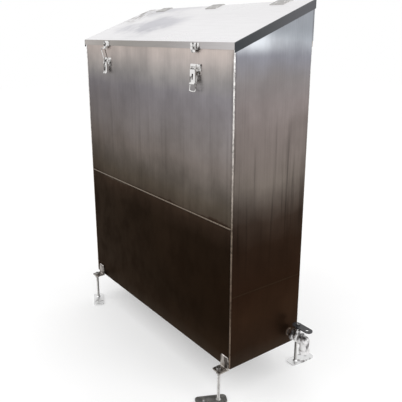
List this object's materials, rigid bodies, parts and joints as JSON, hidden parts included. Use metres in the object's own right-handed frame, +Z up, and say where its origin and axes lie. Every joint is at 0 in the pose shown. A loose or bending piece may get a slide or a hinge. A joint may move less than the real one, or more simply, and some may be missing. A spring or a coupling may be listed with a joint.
{
  "type": "stainless containment cabinet",
  "caption": "Free-standing stainless cabinet with a sloped hinged lid, draw latches, screw-adjusted legs on flat bar feet and a side drain valve with a downturned outlet elbow.",
  "frame": {"origin": "on the floor under the middle of the whole object's bounding box, feet and drain valve included", "axes": "+Z up, +X to the right as seen from the latch side (the drain valve's side), +Y to the rear, where the lid is hinged"},
  "size_m": [1.2315, 0.5995, 1.4864],
  "materials": {
    "brushed_sheet": "brushed stainless sheet, vertical grain",
    "weld_metal": "bright rippled stainless weld bead",
    "hinge_steel": "satin stainless",
    "polished_latch": "polished stainless",
    "bar_steel": "satin stainless bar with light wear",
    "thread_steel": "threaded stainless rod and nuts",
    "cast_steel": "bright cast and turned stainless",
    "dark_handle": "dark stained lever plate",
    "gasket_rubber": "matte black rubber",
    "seat_plastic": "white sealing plastic"
  },
  "bodies": {
    "cabinet": {"front_lower_panel": "brushed_sheet", "front_upper_panel": "brushed_sheet", "rear_lower_panel": "brushed_sheet", "rear_upper_panel": "brushed_sheet", "rear_head_panel": "brushed_sheet", "right_side_lower_panel": "brushed_sheet", "right_side_upper_panel": "brushed_sheet", "right_gable": "brushed_sheet", "left_side_lower_panel": "brushed_sheet", "left_side_upper_panel": "brushed_sheet", "left_gable": "brushed_sheet", "bottom_pan": "brushed_sheet", "rim_frame": "brushed_sheet", "lid_gasket": "gasket_rubber", "corner_welds": "weld_metal", "seam_welds": "weld_metal", "hinge_wall_leaves": "hinge_steel", "hinge_pins": "hinge_steel", "hinge_wall_rivets": "hinge_steel", "right_latch_base": "polished_latch", "left_latch_base": "polished_latch", "latch_rivets": "polished_latch", "latch_pins": "polished_latch", "front_right_bracket": "bar_steel", "rear_right_bracket": "bar_steel", "front_left_bracket": "bar_steel", "rear_left_bracket": "bar_steel", "drain_nipple": "cast_steel", "valve_end_nut": "cast_steel", "valve_body": "cast_steel", "valve_seats": "seat_plastic", "valve_packing_nut": "cast_steel", "valve_elbow": "cast_steel"},
    "lid": {"lid_panel": "brushed_sheet", "hinge_lid_leaves": "hinge_steel", "hinge_lid_rivets": "hinge_steel", "right_latch_keeper": "polished_latch", "left_latch_keeper": "polished_latch", "keeper_rivets": "polished_latch"},
    "right_lever": {"right_latch_lever": "polished_latch"},
    "right_bail": {"right_latch_bail": "polished_latch"},
    "left_lever": {"left_latch_lever": "polished_latch"},
    "left_bail": {"left_latch_bail": "polished_latch"},
    "valve_lever": {"valve_handle": "dark_handle", "valve_handle_nut": "cast_steel", "valve_stem": "cast_steel", "valve_ball": "cast_steel"},
    "front_right_leg": {"front_right_rod": "thread_steel", "front_right_foot": "bar_steel"},
    "front_right_nut_pair": {"front_right_nuts": "thread_steel"},
    "rear_right_leg": {"rear_right_rod": "thread_steel", "rear_right_foot": "bar_steel"},
    "rear_right_nut_pair": {"rear_right_nuts": "thread_steel"},
    "front_left_leg": {"front_left_rod": "thread_steel", "front_left_foot": "bar_steel"},
    "front_left_nut_pair": {"front_left_nuts": "thread_steel"},
    "rear_left_leg": {"rear_left_rod": "thread_steel", "rear_left_foot": "bar_steel"},
    "rear_left_nut_pair": {"rear_left_nuts": "thread_steel"}
  },
  "joints": [
    {"name": "lid_hinge", "type": "hinge", "parent": "cabinet", "child": "lid", "pos_m": [-0.0572, 0.189, 1.48038], "axis": [-1, 0, 0], "range_deg": [0, 115]},
    {"name": "right_latch_lever_pivot", "type": "hinge", "parent": "cabinet", "child": "right_lever", "pos_m": [0.2848, -0.191, 1.246], "axis": [-1, 0, 0], "range_deg": [0, 140]},
    {"name": "right_latch_bail_pivot", "type": "hinge", "parent": "right_lever", "child": "right_bail", "pos_m": [0.2848, -0.189, 1.234], "axis": [-1, 0, 0], "range_deg": [-140, 0]},
    {"name": "left_latch_lever_pivot", "type": "hinge", "parent": "cabinet", "child": "left_lever", "pos_m": [-0.3892, -0.191, 1.246], "axis": [-1, 0, 0], "range_deg": [0, 140]},
    {"name": "left_latch_bail_pivot", "type": "hinge", "parent": "left_lever", "child": "left_bail", "pos_m": [-0.3892, -0.189, 1.234], "axis": [-1, 0, 0], "range_deg": [-140, 0]},
    {"name": "drain_valve_lever", "type": "hinge", "parent": "cabinet", "child": "valve_lever", "pos_m": [0.5463, 0.13, 0.188], "axis": [0, 0, -1], "range_deg": [0, 90]},
    {"name": "front_right_height", "type": "slide", "parent": "cabinet", "child": "front_right_leg", "axis": [0, 0, 1], "range_m": [0, 0.049]},
    {"name": "front_right_nut_turn", "type": "hinge", "parent": "cabinet", "child": "front_right_nut_pair", "pos_m": [0.4686, -0.213, 0.13], "axis": [0, 0, 1], "range_deg": [-10081, 0]},
    {"name": "rear_right_height", "type": "slide", "parent": "cabinet", "child": "rear_right_leg", "axis": [0, 0, 1], "range_m": [0, 0.049]},
    {"name": "rear_right_nut_turn", "type": "hinge", "parent": "cabinet", "child": "rear_right_nut_pair", "pos_m": [0.4686, 0.209, 0.13], "axis": [0, 0, 1], "range_deg": [-10081, 0]},
    {"name": "front_left_height", "type": "slide", "parent": "cabinet", "child": "front_left_leg", "axis": [0, 0, 1], "range_m": [0, 0.049]},
    {"name": "front_left_nut_turn", "type": "hinge", "parent": "cabinet", "child": "front_left_nut_pair", "pos_m": [-0.5632, -0.213, 0.13], "axis": [0, 0, 1], "range_deg": [-10081, 0]},
    {"name": "rear_left_height", "type": "slide", "parent": "cabinet", "child": "rear_left_leg", "axis": [0, 0, 1], "range_m": [0, 0.049]},
    {"name": "rear_left_nut_turn", "type": "hinge", "parent": "cabinet", "child": "rear_left_nut_pair", "pos_m": [-0.5632, 0.209, 0.13], "axis": [0, 0, 1], "range_deg": [-10081, 0]}
  ],
  "couplings": [
    {"joint": "right_latch_bail_pivot", "follows": "right_latch_lever_pivot", "ratio": -1},
    {"joint": "left_latch_bail_pivot", "follows": "left_latch_lever_pivot", "ratio": -1},
    {"joint": "front_right_nut_turn", "follows": "front_right_height", "rad_per_m": -3590.4},
    {"joint": "rear_right_nut_turn", "follows": "rear_right_height", "rad_per_m": -3590.4},
    {"joint": "front_left_nut_turn", "follows": "front_left_height", "rad_per_m": -3590.4},
    {"joint": "rear_left_nut_turn", "follows": "rear_left_height", "rad_per_m": -3590.4}
  ]
}
